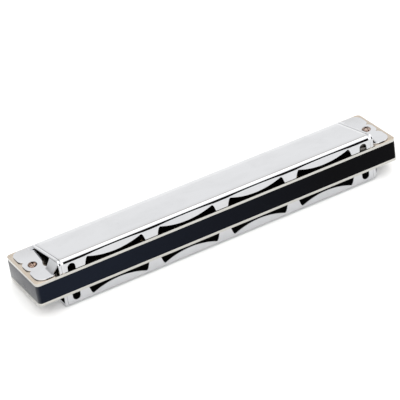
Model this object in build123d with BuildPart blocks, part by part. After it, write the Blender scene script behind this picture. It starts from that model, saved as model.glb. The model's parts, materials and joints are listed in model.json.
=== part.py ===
"""Tremolo harmonica with 24 double holes, at rest on its lower cover.

The harmonica is drawn in its own tilted frame: MID is the comb's middle plane, with x along the
row of holes, y from the open back towards the mouthpiece and z towards the upper cover. The covers
are deeper at the back than at the mouthpiece, so the harmonica that stands on its lower cover leans
forward by the slope of that cover.
"""
from build123d import *
import math
import os

os.makedirs("parts", exist_ok=True)

# ---- driving dimensions, mm ----
comb_length = 178.0
comb_width = 29.5
comb_height = 8.4
corner_radius = 1.8
plate_thickness = 1.2

hole_count = 24
hole_pitch = 6.4
cell_width = 4.9
cell_depth = 3.5
cell_gap = 0.4

slot_front = 9.0
treble_slot = 9.5
bass_slot = 17.0
slot_width = 2.2

reed_width = 2.0
reed_thickness = 0.25
reed_gap = 0.05
root_gap = 0.05
tip_gap = 0.12
weighted_reeds = 9
weight_length = 3.0
weight_height = 0.3

pad_length = 3.2
pad_width = 2.6
pad_thickness = 0.35
rivet_radius = 0.5
rivet_head_radius = 0.95
rivet_head_height = 0.25
rivet_tail_radius = 0.75
rivet_tail_height = 0.15

sheet = 0.4
cover_half_length = 77.7
wall_y = -14.45
wall_straight = 3.8
bend_radius = 1.85
cover_slope = 10.0
face_back = -9.5
face_front = 12.2
hem_length = 1.1

back_slot_length = 28.8
back_slot_pitch = 34.45
back_slot_height = 3.5
back_slot_middle = 1.2
back_slot_lean = 1.2
arch_centre = 72.1
arch_width = 3.6
arch_height = 3.5
slot_corner = 0.7

tab_start = 77.6
tab_end = 87.4
tab_half_width = 13.8
tab_corner = 4.0
notch_depth = 1.7
lobe_round = 3.0
notch_spacing = 7.8
vent_reach = 79.9
vent_widest = -3.5
vent_back = -6.1
vent_front = 11.4
web_back = -12.4
web_front = 10.6
web_foot = 78.1
slit_width = 3.4

screw_x = 83.4
screw_radius = 1.0
screw_length = 4.6
screw_head_radius = 2.1
screw_head_height = 1.1
screw_dome_radius = 0.88
screw_clearance = 0.1
cross_length = 2.2
cross_width = 0.5
cross_depth = 0.55

nail_radius = 0.4
nail_depth = 3.0
nail_head_radius = 0.75
nail_head_height = 0.3
nail_back_y = -12.8
nail_front_y = 11.5

# Cutting shapes run past the metal by this much.
overrun = 1.0

# ---- frames ----
slope = math.radians(cover_slope)
plate_inside = comb_height / 2
plate_outside = plate_inside + plate_thickness

shoulder_radius = (face_back - wall_y - bend_radius) / math.sin(slope)
shoulder_top = plate_outside + wall_straight + bend_radius
face_top = shoulder_top - shoulder_radius * (1 - math.cos(slope))
rest_height = face_top * math.cos(slope) + face_back * math.sin(slope)

front_reach = comb_width / 2 * math.cos(slope) + plate_outside * math.sin(slope)
bend_height = plate_outside + wall_straight
bend_y = wall_y + bend_radius
back_reach = -bend_y * math.cos(slope) + bend_height * math.sin(slope) + bend_radius
middle_y = (back_reach - front_reach) / 2

MID = Plane(
    origin=(0, middle_y, rest_height),
    x_dir=(1, 0, 0),
    z_dir=(0, math.sin(slope), math.cos(slope)),
)
SIDE = Plane(origin=MID.origin, x_dir=MID.y_dir, z_dir=(1, 0, 0))
BACK = Plane(origin=MID.origin, x_dir=(1, 0, 0), z_dir=-MID.y_dir)
UP = Axis(MID.origin, MID.z_dir)

# ---- the row of holes: treble at -x, bass at +x, blow and draw holes in turn ----
hole_x = [(i - (hole_count - 1) / 2) * hole_pitch for i in range(hole_count)]
slot_length = [
    treble_slot + (bass_slot - treble_slot) * i / (hole_count - 1) for i in range(hole_count)
]
slot_back = [slot_front - length for length in slot_length]
blow_holes = range(0, hole_count, 2)
draw_holes = range(1, hole_count, 2)


def rivet_y(i):
    """Middle of the riveted pad: behind the slot for a blow reed, in front of it for a draw reed."""
    if i in blow_holes:
        return slot_back[i] - pad_length / 2
    return slot_front + pad_length / 2


blow_rivets = [(hole_x[i], rivet_y(i)) for i in blow_holes]
draw_rivets = [(hole_x[i], rivet_y(i)) for i in draw_holes]
screw_places = [(-screw_x, 0), (screw_x, 0)]
nail_x = [k * hole_pitch * hole_count / 4 for k in (-2, -1, 0, 1, 2)]
nail_places = [(x, y) for x in nail_x for y in (nail_back_y, nail_front_y)]
sides = {"upper": 1, "lower": -1}

# ---- comb ----
with BuildPart() as comb:
    with BuildSketch(MID.offset(-plate_inside)):
        RectangleRounded(comb_length, comb_width, corner_radius)
    extrude(amount=comb_height)
    for side in sides.values():
        with BuildSketch(MID.offset(side * plate_inside)):
            for i in range(hole_count):
                cell_back = slot_back[i] - pad_length - cell_gap
                with Locations((hole_x[i], cell_back)):
                    Rectangle(cell_width, comb_width / 2 - cell_back, align=(Align.CENTER, Align.MIN))
        extrude(amount=-side * cell_depth, mode=Mode.SUBTRACT)
        with BuildSketch(MID.offset(side * plate_inside)):
            with Locations(screw_places):
                Circle(screw_radius)
        extrude(amount=-side * (screw_length - sheet - plate_thickness), mode=Mode.SUBTRACT)
        with BuildSketch(MID.offset(side * plate_inside)):
            with Locations(nail_places):
                Circle(nail_radius)
        extrude(amount=-side * nail_depth, mode=Mode.SUBTRACT)
comb.part.label = "comb"
export_step(comb.part, "parts/comb.step")

# ---- reed plates ----
for name, side in sides.items():
    with BuildPart() as reed_plate:
        with BuildSketch(MID.offset(side * plate_inside)):
            RectangleRounded(comb_length, comb_width, corner_radius)
            for i in range(hole_count):
                with Locations((hole_x[i], slot_front)):
                    Rectangle(
                        slot_width, slot_length[i], align=(Align.CENTER, Align.MAX), mode=Mode.SUBTRACT
                    )
            with Locations(blow_rivets + draw_rivets):
                Circle(rivet_radius, mode=Mode.SUBTRACT)
            with Locations(screw_places):
                Circle(screw_radius + screw_clearance, mode=Mode.SUBTRACT)
            with Locations(nail_places):
                Circle(nail_radius, mode=Mode.SUBTRACT)
        extrude(amount=side * plate_thickness)
    reed_plate.part.label = f"{name}_reed_plate"
    export_step(reed_plate.part, f"parts/{name}_reed_plate.step")

# ---- reed pads: the riveted feet of the reeds ----
for name, side in sides.items():
    with BuildPart() as reed_pads:
        with BuildSketch(MID.offset(side * plate_inside)):
            with Locations(blow_rivets):
                Rectangle(pad_width, pad_length)
                Circle(rivet_radius, mode=Mode.SUBTRACT)
        extrude(amount=-side * pad_thickness)
        with BuildSketch(MID.offset(side * plate_outside)):
            with Locations(draw_rivets):
                Rectangle(pad_width, pad_length)
                Circle(rivet_radius, mode=Mode.SUBTRACT)
        extrude(amount=side * pad_thickness)
    reed_pads.part.label = f"{name}_reed_pads"
    export_step(reed_pads.part, f"parts/{name}_reed_pads.step")

# ---- reed rivets: head on the pad, shank through the plate, spread tail on the far face ----
for name, side in sides.items():
    with BuildPart() as reed_rivets:
        for places, face, away in (
            (blow_rivets, plate_inside, -side),
            (draw_rivets, plate_outside, side),
        ):
            head_face = side * face + away * pad_thickness
            with BuildSketch(MID.offset(head_face)):
                with Locations(places):
                    Circle(rivet_head_radius)
            extrude(amount=away * rivet_head_height)
            with BuildSketch(MID.offset(head_face)):
                with Locations(places):
                    Circle(rivet_radius)
            extrude(amount=-away * (pad_thickness + plate_thickness))
            with BuildSketch(MID.offset(side * face - away * plate_thickness)):
                with Locations(places):
                    Circle(rivet_tail_radius)
            extrude(amount=-away * rivet_tail_height)
    reed_rivets.part.label = f"{name}_reed_rivets"
    export_step(reed_rivets.part, f"parts/{name}_reed_rivets.step")

# ---- reed tongues: each one swings about its root, through its own slot ----
for name, side in sides.items():
    for i in range(hole_count):
        blow = i in blow_holes
        away = -side if blow else side
        face = side * (plate_inside if blow else plate_outside)
        length = slot_length[i] - root_gap - tip_gap
        towards_tip = 1 if blow else -1
        root_y = (slot_back[i] if blow else slot_front) + towards_tip * root_gap
        tip_y = root_y + towards_tip * length
        with BuildPart() as reed:
            with BuildSketch(MID.offset(face + away * reed_gap)):
                with Locations((hole_x[i], (root_y + tip_y) / 2)):
                    Rectangle(reed_width, length)
            extrude(amount=away * reed_thickness)
            if i >= hole_count - weighted_reeds:
                with BuildSketch(MID.offset(face + away * (reed_gap + reed_thickness))):
                    with Locations((hole_x[i], tip_y - towards_tip * weight_length / 2)):
                        Rectangle(reed_width, weight_length)
                extrude(amount=away * weight_height)
        reed.part.label = f"{name}_reed_{i + 1:02d}"
        export_step(reed.part, f"parts/{name}_reed_{i + 1:02d}.step")

# ---- covers ----
nose_start = face_top - (face_front - face_back) * math.tan(slope)
nose_radius = (nose_start - plate_outside) / math.cos(slope)
nose_y = face_front + nose_radius * (1 - math.sin(slope))
below_plate = plate_outside - overrun

with BuildSketch() as cover_outline:
    with BuildLine():
        Line((wall_y, below_plate), (wall_y, bend_height))
        RadiusArc((wall_y, bend_height), (bend_y, shoulder_top), bend_radius)
        RadiusArc((bend_y, shoulder_top), (face_back, face_top), shoulder_radius)
        Line((face_back, face_top), (face_front, nose_start))
        RadiusArc((face_front, nose_start), (nose_y, plate_outside), nose_radius)
        Polyline((nose_y, plate_outside), (nose_y, below_plate), (wall_y, below_plate))
    make_face()


def cover_band(thickness):
    """Cross-section of the bent cover sheet, drawn in the side plane."""
    with BuildSketch() as band:
        add(cover_outline.sketch)
        offset(cover_outline.sketch, amount=-thickness, mode=Mode.SUBTRACT)
        with Locations((0, plate_outside)):
            Rectangle(comb_width, 2 * overrun, align=(Align.CENTER, Align.MAX), mode=Mode.SUBTRACT)
    return band.sketch


# Two rounded lobes meet in a cusp at each notch of a tab's outer edge.
lobe_turn = math.acos(1 - notch_depth / lobe_round)
notch_half = lobe_round * math.sin(lobe_turn)
lobe_x = tab_end - lobe_round * (1 - math.cos(lobe_turn / 2))
lobe_y = lobe_round * math.sin(lobe_turn / 2)

# The steep corner pieces that join the raised shell to the end tabs, each side of the vent.
web_lean = web_foot - cover_half_length
with BuildPart() as end_webs:
    for end in (-1, 1):
        with BuildSketch(BACK.offset(-comb_width / 2)):
            Polygon(
                (end * (web_foot + sheet / 2), plate_outside),
                (end * (web_foot - sheet / 2), plate_outside),
                (end * (cover_half_length - sheet), shoulder_top),
                (end * cover_half_length, shoulder_top),
                align=None,
            )
        extrude(amount=comb_width)
    with BuildSketch(SIDE):
        Polygon(
            (web_back, plate_outside),
            (wall_y + sheet, shoulder_top),
            (vent_back - web_lean, shoulder_top),
            (vent_back, plate_outside),
            align=None,
        )
        Polygon(
            (web_front, plate_outside),
            (vent_front, face_top),
            (nose_y, face_top),
            (nose_y, plate_outside),
            align=None,
        )
    extrude(amount=comb_length / 2, both=True, mode=Mode.INTERSECT)
    with BuildSketch(SIDE):
        add(cover_outline.sketch)
    extrude(amount=comb_length / 2, both=True, mode=Mode.INTERSECT)

with BuildPart() as upper_cover:
    with BuildSketch(SIDE):
        add(cover_band(sheet))
    extrude(amount=cover_half_length, both=True)
    for end in (-1, 1):
        with BuildSketch(SIDE.offset(end * cover_half_length)):
            add(cover_band(2 * sheet))
        extrude(amount=-end * hem_length)
    # The back wall: four waisted sound slots between two small arches.
    with BuildSketch(BACK.offset(-wall_y + overrun)) as sound_slots:
        for k in (-1.5, -0.5, 0.5, 1.5):
            centre = k * back_slot_pitch
            half = back_slot_length / 2
            top = plate_outside + back_slot_height
            shoulder = half - back_slot_lean
            with BuildLine():
                Polyline(
                    (centre + shoulder, top),
                    (centre + half, plate_outside),
                    (centre - half, plate_outside),
                    (centre - shoulder, top),
                )
                ThreePointArc(
                    (centre - shoulder, top),
                    (centre, plate_outside + back_slot_middle),
                    (centre + shoulder, top),
                )
            make_face()
        fillet(sound_slots.vertices().group_by(Axis.Y)[-1], slot_corner)
        for end in (-1, 1):
            with Locations((end * arch_centre, plate_outside)):
                Rectangle(arch_width, arch_height - arch_width / 2, align=(Align.CENTER, Align.MIN))
            with Locations((end * arch_centre, plate_outside + arch_height - arch_width / 2)):
                Circle(arch_width / 2)
    extrude(amount=-overrun - 2 * sheet, mode=Mode.SUBTRACT)
    # The end tabs lie flat on the reed plate and take the screws.
    with BuildSketch(MID.offset(plate_outside)) as tabs:
        for end in (-1, 1):
            with Locations((end * (tab_start + tab_end) / 2, 0)):
                Rectangle(tab_end - tab_start, 2 * tab_half_width)
        fillet(tabs.vertices().group_by(Axis.X)[0] + tabs.vertices().group_by(Axis.X)[-1], tab_corner)
        for end in (-1, 1):
            for notch_y in (-notch_spacing / 2, notch_spacing / 2):
                with BuildLine():
                    ThreePointArc(
                        (end * tab_end, notch_y - notch_half),
                        (end * lobe_x, notch_y - notch_half + lobe_y),
                        (end * (tab_end - notch_depth), notch_y),
                    )
                    ThreePointArc(
                        (end * (tab_end - notch_depth), notch_y),
                        (end * lobe_x, notch_y + notch_half - lobe_y),
                        (end * tab_end, notch_y + notch_half),
                    )
                    Line(
                        (end * tab_end, notch_y + notch_half),
                        (end * tab_end, notch_y - notch_half),
                    )
                make_face(mode=Mode.SUBTRACT)
        for end in (-1, 1):
            with BuildLine():
                Spline(
                    (end * tab_start, vent_front),
                    (end * vent_reach, vent_widest),
                    (end * tab_start, vent_back),
                )
                Line((end * tab_start, vent_back), (end * tab_start, vent_front))
            make_face(mode=Mode.SUBTRACT)
            Polygon(
                (end * (tab_start + slit_width), -tab_half_width),
                (end * tab_start, -tab_half_width),
                (end * tab_start, web_back),
                align=None,
                mode=Mode.SUBTRACT,
            )
        with Locations(screw_places):
            Circle(screw_radius + screw_clearance, mode=Mode.SUBTRACT)
    extrude(amount=sheet)
    add(end_webs.part)
upper_cover.part.label = "upper_cover"
export_step(upper_cover.part, "parts/upper_cover.step")

with BuildPart() as lower_cover:
    mirror(upper_cover.part, about=MID)
lower_cover.part.label = "lower_cover"
export_step(lower_cover.part, "parts/lower_cover.step")

# ---- cover screws: domed heads with a cross recess ----
with BuildPart() as cover_screws:
    for side in sides.values():
        tab_face = side * (plate_outside + sheet)
        with BuildSketch(MID.offset(tab_face)):
            with Locations(screw_places):
                Circle(screw_head_radius)
        head = extrude(amount=side * screw_head_height)
        rims = head.edges().filter_by(GeomType.CIRCLE).group_by(UP)
        fillet(rims[-1] if side > 0 else rims[0], screw_dome_radius)
        with BuildSketch(MID.offset(tab_face + side * screw_head_height)):
            with Locations(screw_places):
                Rectangle(cross_length, cross_width)
                Rectangle(cross_width, cross_length)
        extrude(amount=-side * cross_depth, mode=Mode.SUBTRACT)
        with BuildSketch(MID.offset(tab_face)):
            with Locations(screw_places):
                Circle(screw_radius)
        extrude(amount=-side * screw_length)
cover_screws.part.label = "cover_screws"
export_step(cover_screws.part, "parts/cover_screws.step")

# ---- plate nails: they hold the reed plates down between the cells ----
with BuildPart() as plate_nails:
    for side in sides.values():
        with BuildSketch(MID.offset(side * plate_outside)):
            with Locations(nail_places):
                Circle(nail_head_radius)
        extrude(amount=side * nail_head_height)
        with BuildSketch(MID.offset(side * plate_outside)):
            with Locations(nail_places):
                Circle(nail_radius)
        extrude(amount=-side * (plate_thickness + nail_depth))
plate_nails.part.label = "plate_nails"
export_step(plate_nails.part, "parts/plate_nails.step")
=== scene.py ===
"""Tremolo harmonica: chromed covers, pale brass reed plates, black comb and 48 free reeds.

Pieces are drawn in the harmonica's own tilted frame, x along the row of holes, y from the open
back towards the mouthpiece, z up through the comb, and are then leaned onto the floor.
"""
import json
import math

import bmesh
import bpy
import numpy as np
from bpy.props import FloatProperty, FloatVectorProperty, PointerProperty
from mathutils import Matrix, Vector


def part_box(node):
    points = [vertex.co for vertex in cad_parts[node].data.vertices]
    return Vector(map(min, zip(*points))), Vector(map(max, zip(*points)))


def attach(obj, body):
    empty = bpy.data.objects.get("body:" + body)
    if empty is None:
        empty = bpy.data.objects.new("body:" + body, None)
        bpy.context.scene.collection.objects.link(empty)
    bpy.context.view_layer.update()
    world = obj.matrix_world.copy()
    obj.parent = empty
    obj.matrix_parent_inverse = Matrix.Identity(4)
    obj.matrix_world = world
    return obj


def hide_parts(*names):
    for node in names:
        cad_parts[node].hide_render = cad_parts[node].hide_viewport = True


bl_info = {
    "name": "Tremolo harmonica",
    "version": (1, 0, 0),
    "blender": (4, 5, 0),
    "location": "3D View > Sidebar > Harmonica",
    "description": "Builds the looks of a tremolo harmonica around its packed model",
    "category": "Add Mesh",
}

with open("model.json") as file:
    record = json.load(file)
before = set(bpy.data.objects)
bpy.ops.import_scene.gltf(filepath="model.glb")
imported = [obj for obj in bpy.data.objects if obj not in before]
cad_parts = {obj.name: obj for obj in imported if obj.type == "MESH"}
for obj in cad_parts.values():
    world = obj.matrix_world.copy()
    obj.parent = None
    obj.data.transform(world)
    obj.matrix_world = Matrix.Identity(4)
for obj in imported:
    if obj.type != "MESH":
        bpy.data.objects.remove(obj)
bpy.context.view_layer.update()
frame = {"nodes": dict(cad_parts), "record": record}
NODES = frame["nodes"]
BODY = "harmonica"


# ---------------------------------------------------------------- the harmonica's own frame

def points_of(node):
    """Corners of a CAD node's mesh, in metres, in the floor's frame."""
    flat = np.zeros(3 * len(NODES[node].data.vertices), np.float32)
    NODES[node].data.vertices.foreach_get("co", flat)
    return flat.reshape(-1, 3).astype(float)


def measured_lean():
    """How far the comb leans forward, from the slant of its long back edge."""
    corners = points_of("comb")
    back = corners[corners[:, 1] < corners[:, 1].min() + 0.00001].mean(0)
    low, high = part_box("comb")
    middle = (np.array(low) + np.array(high)) / 2
    lowest = corners[corners[:, 2] < corners[:, 2].min() + 0.00001].mean(0)
    width = lowest[1] - back[1]
    drop = back[2] - lowest[2]
    return math.atan2(drop, width), Vector(middle)


LEAN, MIDDLE = measured_lean()
STAND = Matrix.Translation(MIDDLE) @ Matrix.Rotation(-LEAN, 4, "X")
LIE = np.array(STAND.inverted())


def own_points(node):
    """Corners of a CAD node in the harmonica's own frame."""
    return points_of(node) @ LIE[:3, :3].T + LIE[:3, 3]


def own_box(node):
    corners = own_points(node)
    return corners.min(0), corners.max(0)


def islands(node, gap=0.001):
    """Boxes of the separate small parts of a CAD node, split wherever there is a gap between them."""
    groups = [own_points(node)]
    for axis in range(3):
        split = []
        for group in groups:
            order = group[group[:, axis].argsort()]
            split += np.split(order, np.where(np.diff(order[:, axis]) > gap)[0] + 1)
        groups = split
    return [(group.min(0), group.max(0)) for group in groups]


COMB_LOW, COMB_HIGH = own_box("comb")
PLATE_LOW, PLATE_HIGH = own_box("upper_reed_plate")
COVER_LOW, COVER_HIGH = own_box("upper_cover")
PLATE_FACE = float(PLATE_HIGH[2])
PAINTED_COVER_SHADE = (0.0772, 0.0141)  # half the length and width of the plate area under a cover that gets painted shade


# ---------------------------------------------------------------- settings

def length(name, description, default):
    return FloatProperty(name=name, description=description, default=default, unit="LENGTH", precision=5)


def angle(name, description, degrees):
    return FloatProperty(name=name, description=description, default=math.radians(degrees), unit="ROTATION")


def amount(name, description, default):
    return FloatProperty(name=name, description=description, default=default)


def colour(name, description, default):
    return FloatVectorProperty(name=name, description=description, default=default, size=3, subtype="COLOR")


class CoverSizes(bpy.types.PropertyGroup):
    """Sizes of the two bent and stamped covers."""
    sheet: length("Sheet", "Thickness of the cover sheet", 0.0004)
    half_length: length("Half length", "From the middle to the end of the raised shell", 0.0777)
    bend_radius: length("Bend radius", "Outside radius of the long bend over the back wall", 0.00185)
    tight_radius: length("Tight radius", "Radius of the lower half of the bend over a sound slot", 0.0011)
    bend_split: angle("Bend split", "Where the tight lower half of the bend ends", 45)
    wall_straight: length("Straight wall", "Height of the flat back wall above the plate", 0.0038)
    slope: angle("Slope", "Slope of the cover's flat top", 10.0)
    face_back: length("Flat top, back", "Where the rounded shoulder meets the flat top", -0.0095)
    face_front: length("Flat top, front", "Where the flat top meets the rounded nose", 0.0122)
    hem: length("Hem", "Width of the doubled sheet along each end", 0.0011)
    groove: length("Hem groove", "Depth of the pressed line beside the hem", 0.0002)
    groove_reach: length("Groove reach", "Half of the pressed line's width", 0.0003)
    slot_length: length("Slot length", "Length of a sound slot at the plate", 0.0288)
    slot_pitch: length("Slot pitch", "From one sound slot to the next", 0.03445)
    slot_height: length("Slot height", "Height of a sound slot at its ends", 0.0039)
    slot_middle: length("Slot middle", "Height of a sound slot at its middle", 0.0012)
    slot_lean: length("Slot lean", "How far a slot's side leans in over its height", 0.0012)
    slot_round: length("Slot corner", "Softness of a slot's upper corners", 0.0026)
    arch_centre: length("Arch place", "From the middle to the small arch near each end", 0.0721)
    arch_width: length("Arch width", "Width of the small arch", 0.0036)
    arch_height: length("Arch height", "Height of the small arch", 0.0035)


class TabSizes(bpy.types.PropertyGroup):
    """Sizes of the flat end tabs with their lobed edge, vent and curved webs."""
    tab_end: length("Tab end", "From the middle to the tab's outer edge", 0.0874)
    half_width: length("Half width", "Half of the tab's width", 0.0138)
    corner: length("Corner", "Radius of the tab's outer corners", 0.0040)
    lobe_round: length("Lobe rounding", "Radius of the lobes beside a notch", 0.0030)
    notch_place: length("Notch place", "From the screw's line to a notch", 0.0039)
    notch_depth: length("Notch depth", "How deep a notch reaches into the tab", 0.0017)
    vent_reach: length("Vent reach", "How far out the vent cuts into the tab", 0.0799)
    vent_widest: length("Vent widest", "Where the vent is widest", -0.0035)
    vent_back: length("Vent back", "Back end of the vent", -0.0061)
    vent_front: length("Vent front", "Front end of the vent", 0.0114)
    web_back: length("Web back", "Back edge of the web's foot", -0.0124)
    web_foot: length("Web foot", "Where the curved web leaves the tab", 0.0806)
    slit: length("Slit", "Width of the slanted cut beside the back wall", 0.0034)
    edge: length("Edge rounding", "Rounding of the tab's stamped edge", 0.00007)
    lift: length("Lift", "Narrow gap under the tab, which is sprung over the plate", 0.00012)


class SmallPartSizes(bpy.types.PropertyGroup):
    """Sizes of screws, rivets, nails, reed pads and reeds that their boxes don't give."""
    screw_head: length("Screw head", "Radius of a cover screw's head", 0.0021)
    screw_rise: length("Screw rise", "Height of a cover screw's dome", 0.0011)
    cross_length: length("Cross length", "Length of the cross recess", 0.0026)
    cross_width: length("Cross width", "Width of the cross recess", 0.00055)
    cross_depth: length("Cross depth", "Depth of the cross recess", 0.00060)
    rivet_head: length("Rivet head", "Radius of a rivet's head", 0.00095)
    rivet_rise: length("Rivet rise", "Height of a rivet's head", 0.00025)
    rivet_tail: length("Rivet tail", "Radius of a rivet's spread tail", 0.00075)
    nail_head: length("Nail head", "Radius of a plate nail's head", 0.00075)
    nail_rise: length("Nail rise", "Height of a plate nail's head", 0.0003)
    shank: length("Shank", "Radius of a rivet's or a nail's shank", 0.00045)
    pad_round: length("Pad corner", "Corner radius of a reed's riveted pad", 0.0004)
    reed_thin: amount("Reed thinning", "Thickness of a tongue's middle against its root", 0.62)
    edge: length("Edge rounding", "Rounding of the comb's and the plates' edges", 0.00006)


class Finishes(bpy.types.PropertyGroup):
    """Colours of the metals, the plastic and the floor."""
    chrome: colour("Chrome", "Polished chrome of the covers", (0.53, 0.535, 0.55))
    # Painted shade: the inside of the covers is chrome like the outside, and this near-black colour paints
    # the shade inside them so the slots read black.
    inside: colour("Cover inside", "Dull unpolished inside of the covers", (0.02, 0.02, 0.02))
    plate: colour("Plate brass", "Rolled pale brass of the reed plates", (0.47, 0.42, 0.365))
    plate_edge: colour("Plate edge", "Freshly sheared edges of the reed plates", (0.49, 0.48, 0.45))
    reed: colour("Reed brass", "Filed brass of the reeds", (0.42, 0.31, 0.16))
    rivet: colour("Rivet brass", "Rivets and nails", (0.42, 0.33, 0.20))
    screw: colour("Screw brass", "Reddish brass of the cover screws", (0.46, 0.36, 0.31))
    comb: colour("Comb plastic", "Black moulded comb", (0.0004, 0.0004, 0.0008))
    # Painted reflection: this navy tint, strongest at the comb's -x end, stands in for light reflected off
    # the comb, not for faded plastic.
    faded: colour("Faded plastic", "Navy cast of the comb towards its treble end", (0.0070, 0.0105, 0.0200))
    floor: colour("Floor", "Pale plain floor", (0.78, 0.78, 0.775))


class StudioSettings(bpy.types.PropertyGroup):
    """Camera and light."""
    azimuth: angle("Azimuth", "Camera's turn about the harmonica, 0 looks along +Y", -28.600)
    elevation: angle("Elevation", "Camera's height angle", 39.380)
    roll: angle("Roll", "Camera's roll about its own axis", -3.020)
    distance: length("Distance", "From the camera to the point it looks at", 0.87803)
    aim: FloatVectorProperty(
        name="Aim", description="Point the camera looks at, from the middle of the comb",
        default=(-0.000333, 0.004932, 0.0), size=3, subtype="TRANSLATION", unit="LENGTH", precision=6)
    lens: FloatProperty(name="Lens", description="Focal length in millimetres", default=182.417)
    slide: amount("Slide", "How far the lens is slid, as a share of the picture's width", 0.00125)
    floor_size: length("Floor size", "Half of the floor's width", 6.0)
    box: amount("Overhead light", "Brightness of the large overhead light", 1.90)
    far: amount("Far wall", "Brightness of the far wall near the horizon", 1.32)
    line: colour("Table line", "Thin beige edge seen low on the far wall", (0.84, 0.80, 0.73))
    gap: amount("Dark gap", "Brightness of the dark room in front, under the overhead light", 0.01)
    fill: amount("Fill", "Brightness of the fill lights at both front corners", 2.6)
    corner: amount("Corner", "Brightness of the grey corner at the back left", 0.40)
    key: amount("Key light", "Strength of the soft key light", 0.5)
    key_spread: angle("Key spread", "Angular size of the soft key light", 34)
    key_turn: angle("Key turn", "Where the key light stands, 0 is +X, 90 is +Y", 58)
    key_height: angle("Key height", "Height angle of the key light", 56)


def settings():
    return bpy.context.scene


# ---------------------------------------------------------------- mesh helpers

def new_piece(name, mesh, material):
    """A mesh drawn in the harmonica's own frame becomes a piece that stands on the floor."""
    mesh.name = name
    mesh.transform(STAND)
    mesh.materials.clear()
    mesh.materials.append(material)
    piece = bpy.data.objects.new(name, mesh)
    bpy.context.scene.collection.objects.link(piece)
    return piece


def settle(piece, body, slot, *nodes):
    """Ties a finished piece to its body and hides the CAD nodes it stands for; the record finish slot it is
    handed is not used.
    """
    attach(piece, body)
    if nodes:
        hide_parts(*nodes)
    return piece


def smooth(mesh, degrees=32):
    mesh.shade_smooth()
    mesh.set_sharp_from_angle(angle=math.radians(degrees))
    return mesh


def plain_mesh(obj):
    """The evaluated object as a plain mesh; the object and its modifiers go."""
    bpy.context.view_layer.update()
    graph = bpy.context.evaluated_depsgraph_get()
    mesh = bpy.data.meshes.new_from_object(obj.evaluated_get(graph))
    bpy.data.objects.remove(obj)
    return mesh


def from_grid(rows, closed=False):
    """A bmesh of quads from a list of equally long rows of points."""
    work = bmesh.new()
    # The inside layer marks a cover's inner skin, which gets painted shade in the chrome finish.
    work.verts.layers.float.new("inside")
    work.verts.layers.float.new("drawn")
    grid = [[work.verts.new(point) for point in row] for row in rows]
    last = len(grid) if closed else len(grid) - 1
    for i in range(last):
        here, there = grid[i], grid[(i + 1) % len(grid)]
        for j in range(len(here) - 1):
            work.faces.new((here[j], there[j], there[j + 1], here[j + 1]))
    return work, grid


def finished(work, mesh_name):
    """Merges doubles, turns all faces outwards and returns the mesh."""
    bmesh.ops.remove_doubles(work, verts=work.verts, dist=1e-7)
    bmesh.ops.dissolve_degenerate(work, edges=work.edges, dist=1e-8)
    bmesh.ops.recalc_face_normals(work, faces=work.faces)
    mesh = bpy.data.meshes.new(mesh_name)
    work.to_mesh(mesh)
    work.free()
    return mesh


def flipped(mesh):
    """The same shape on the other side of the comb."""
    work = bmesh.new()
    work.from_mesh(mesh)
    bmesh.ops.transform(work, matrix=Matrix.Diagonal((1, 1, -1, 1)), verts=work.verts)
    bmesh.ops.recalc_face_normals(work, faces=work.faces)
    copy = bpy.data.meshes.new(mesh.name + "_flipped")
    work.to_mesh(copy)
    work.free()
    return smooth(copy)


def arc(centre, radius, start, end, steps):
    """Points on a circle from one angle to the other, in degrees."""
    turn = np.radians(np.linspace(start, end, steps + 1))
    return [(centre[0] + radius * math.cos(a), centre[1] + radius * math.sin(a)) for a in turn]


# ---------------------------------------------------------------- node helpers

def place_node(tree, kind, column, row, values=None, **options):
    """Adds a node, sets its options and its unlinked inputs by name."""
    node = tree.nodes.new(kind)
    node.location = (220 * column, -260 * row)
    for key, value in options.items():
        setattr(node, key, value)
    for key, value in (values or {}).items():
        if isinstance(value, bpy.types.NodeSocket):
            tree.links.new(value, node.inputs[key])
        else:
            node.inputs[key].default_value = value
    return node


def blend_colours(tree, column, row, factor, first, second):
    """Mixes two colours, each a plain colour or another node's output."""
    mix = place_node(tree, "ShaderNodeMix", column, row, data_type="RGBA")
    by_id = {socket.identifier: socket for socket in mix.inputs}
    for key, value in (("Factor_Float", factor), ("A_Color", first), ("B_Color", second)):
        if isinstance(value, bpy.types.NodeSocket):
            tree.links.new(value, by_id[key])
        elif key == "Factor_Float":
            by_id[key].default_value = value
        else:
            by_id[key].default_value = (*value, 1)
    return next(socket for socket in mix.outputs if socket.type == "RGBA")


def ramp(tree, column, row, factor, *stops):
    """A colour ramp with (place, colour or grey) stops."""
    node = place_node(tree, "ShaderNodeValToRGB", column, row, {"Fac": factor})
    elements = node.color_ramp.elements
    while len(elements) < len(stops):
        elements.new(1.0)
    for element, (place, shade) in zip(elements, stops):
        element.position = place
        element.color = (*shade, 1) if hasattr(shade, "__len__") else (shade, shade, shade, 1)
    return node.outputs["Color"]


def spread(tree, column, row, value, low, high, start=0.0, end=1.0):
    node = place_node(tree, "ShaderNodeMapRange", column, row, {
        "Value": value, "From Min": start, "From Max": end, "To Min": low, "To Max": high})
    return node.outputs["Result"]


def noise(tree, column, row, vector, scale, detail=3.0, rough=0.5, warp=0.0):
    node = place_node(tree, "ShaderNodeTexNoise", column, row, {
        "Vector": vector, "Scale": scale, "Detail": detail, "Roughness": rough, "Distortion": warp})
    return node.outputs["Fac"]


def own_vector(tree, stretch, column=0, row=0):
    """Object coordinates turned level with the comb and stretched, so a grain can run along it."""
    place = place_node(tree, "ShaderNodeTexCoord", column, row)
    mapping = place_node(tree, "ShaderNodeMapping", column + 1, row, {
        "Vector": place.outputs["Object"], "Rotation": (LEAN, 0, 0), "Scale": stretch})
    return mapping.outputs["Vector"]


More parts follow.
